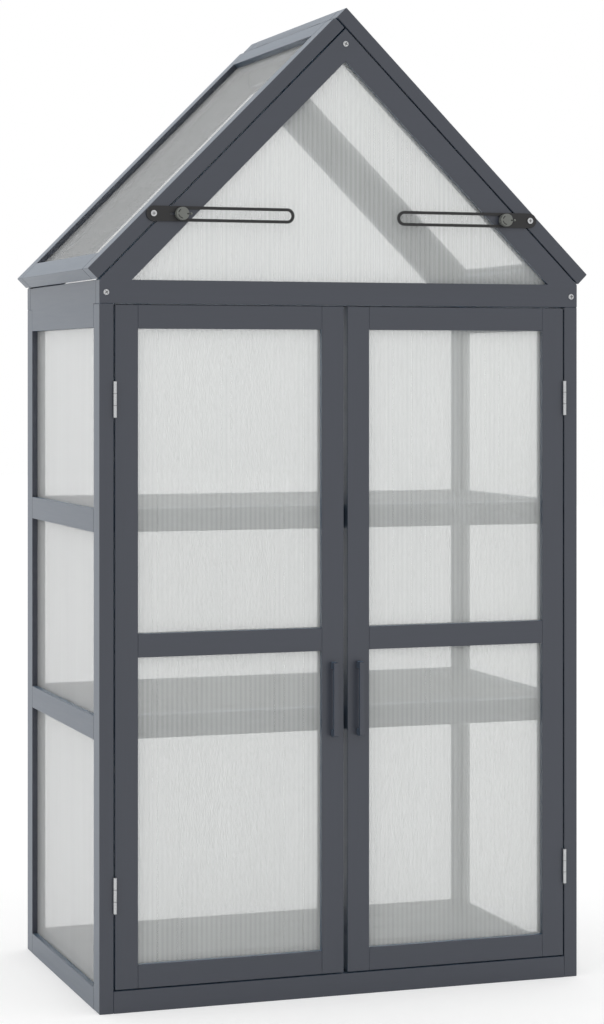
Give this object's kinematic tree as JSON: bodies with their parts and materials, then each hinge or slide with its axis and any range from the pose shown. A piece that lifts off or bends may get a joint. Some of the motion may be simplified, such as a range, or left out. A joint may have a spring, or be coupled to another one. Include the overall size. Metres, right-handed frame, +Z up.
{
  "type": "mini greenhouse",
  "caption": "Tall wooden mini greenhouse with double doors, fluted clear sheets, slatted shelves and a gable roof whose leaves open on slotted stays",
  "frame": {"origin": "On the ground, in the middle of the width and of the overall depth", "axes": "+X to the right seen from the front, +Y to the back, +Z up; the doors face -Y"},
  "size_m": [0.7382, 0.445, 1.3747],
  "materials": {
    "painted_wood": "slate grey satin paint on softwood",
    "fluted_sheet": "clear twin-wall sheet with upright flutes",
    "zinc": "bright zinc plating",
    "black_metal": "black satin coating",
    "nut_metal": "dull grey olive",
    "handle_paint": "slate grey satin paint"
  },
  "bodies": {
    "cabinet": {"back_gable_panel": "fluted_sheet", "back_gable_rafters": "painted_wood", "back_gable_rail": "painted_wood", "back_left_post": "painted_wood", "back_panels": "fluted_sheet", "back_rails": "painted_wood", "back_right_post": "painted_wood", "deck_cleats": "painted_wood", "floor_deck": "painted_wood", "front_gable_panel": "fluted_sheet", "front_gable_rafters": "painted_wood", "front_gable_rail": "painted_wood", "front_left_post": "painted_wood", "front_right_post": "painted_wood", "front_sill": "painted_wood", "left_bottom_rail": "painted_wood", "left_middle_rails": "painted_wood", "left_panels": "fluted_sheet", "left_top_board": "painted_wood", "lower_shelf_deck": "painted_wood", "post_hinge_leaves": "zinc", "ridge_beam": "painted_wood", "ridge_hinge_straps": "zinc", "right_bottom_rail": "painted_wood", "right_middle_rails": "painted_wood", "right_panels": "fluted_sheet", "right_top_board": "painted_wood", "shelf_front_boards": "painted_wood", "upper_shelf_deck": "painted_wood"},
    "door_left": {"left_door_bottom_rail": "painted_wood", "left_door_handle": "handle_paint", "left_door_hinge_leaves": "zinc", "left_door_middle_rail": "painted_wood", "left_door_panels": "fluted_sheet", "left_door_stiles": "painted_wood", "left_door_top_rail": "painted_wood"},
    "door_right": {"right_door_bottom_rail": "painted_wood", "right_door_handle": "handle_paint", "right_door_hinge_leaves": "zinc", "right_door_middle_rail": "painted_wood", "right_door_panels": "fluted_sheet", "right_door_stiles": "painted_wood", "right_door_top_rail": "painted_wood"},
    "roof_left": {"left_roof_hinge_leaves": "zinc", "left_roof_panel": "fluted_sheet", "left_roof_rafters": "painted_wood", "left_roof_rails": "painted_wood", "left_stay_pivot_screw": "zinc"},
    "roof_right": {"right_roof_hinge_leaves": "zinc", "right_roof_panel": "fluted_sheet", "right_roof_rafters": "painted_wood", "right_roof_rails": "painted_wood", "right_stay_pivot_screw": "zinc"},
    "stay_left": {"left_stay": "black_metal"},
    "stay_right": {"right_stay": "black_metal"},
    "stud_left": {"left_stay_stud": "zinc"},
    "stud_right": {"right_stay_stud": "zinc"},
    "nut_left": {"left_thumb_nut": "nut_metal"},
    "nut_right": {"right_thumb_nut": "nut_metal"}
  },
  "joints": [
    {"name": "left_door_hinge", "type": "hinge", "parent": "cabinet", "child": "door_left", "pos_m": [-0.332, -0.2104, 0.495], "axis": [0, 0, -1], "range_deg": [0, 170]},
    {"name": "right_door_hinge", "type": "hinge", "parent": "cabinet", "child": "door_right", "pos_m": [0.332, -0.2104, 0.495], "axis": [0, 0, 1], "range_deg": [0, 170]},
    {"name": "left_roof_hinge", "type": "hinge", "parent": "cabinet", "child": "roof_left", "pos_m": [-0.01202, 0.0075, 1.35844], "axis": [0, 1, 0], "range_deg": [0, 24]},
    {"name": "left_stay_pivot", "type": "hinge", "parent": "roof_left", "child": "stay_left", "pos_m": [-0.27806, -0.2093, 1.0825], "axis": [0, 1, 0], "range_deg": [0, 21.84]},
    {"name": "left_stay_slide", "type": "slide", "parent": "stay_left", "child": "stud_left", "axis": [1, 0, 0], "range_m": [0, 0.14508]},
    {"name": "left_nut_turn", "type": "hinge", "parent": "stud_left", "child": "nut_left", "pos_m": [-0.23906, -0.2145, 1.0825], "axis": [0, -1, 0], "range_deg": [0, 360]},
    {"name": "right_roof_hinge", "type": "hinge", "parent": "cabinet", "child": "roof_right", "pos_m": [-0.01202, 0.0075, 1.35844], "axis": [0, -1, 0], "range_deg": [0, 24]},
    {"name": "right_stay_pivot", "type": "hinge", "parent": "roof_right", "child": "stay_right", "pos_m": [0.27806, -0.2093, 1.0825], "axis": [0, -1, 0], "range_deg": [0, 24.35]},
    {"name": "right_stay_slide", "type": "slide", "parent": "stay_right", "child": "stud_right", "axis": [-1, 0, 0], "range_m": [0, 0.15083]},
    {"name": "right_nut_turn", "type": "hinge", "parent": "stud_right", "child": "nut_right", "pos_m": [0.23906, -0.2145, 1.0825], "axis": [0, -1, 0], "range_deg": [0, 360]}
  ],
  "couplings": [
    {"joint": "left_stay_pivot", "follows": "left_roof_hinge", "ratio": 0.91012},
    {"joint": "left_stay_slide", "follows": "left_roof_hinge", "m_per_rad": 0.34634},
    {"joint": "right_stay_pivot", "follows": "right_roof_hinge", "ratio": 1.0146},
    {"joint": "right_stay_slide", "follows": "right_roof_hinge", "m_per_rad": 0.36007}
  ]
}
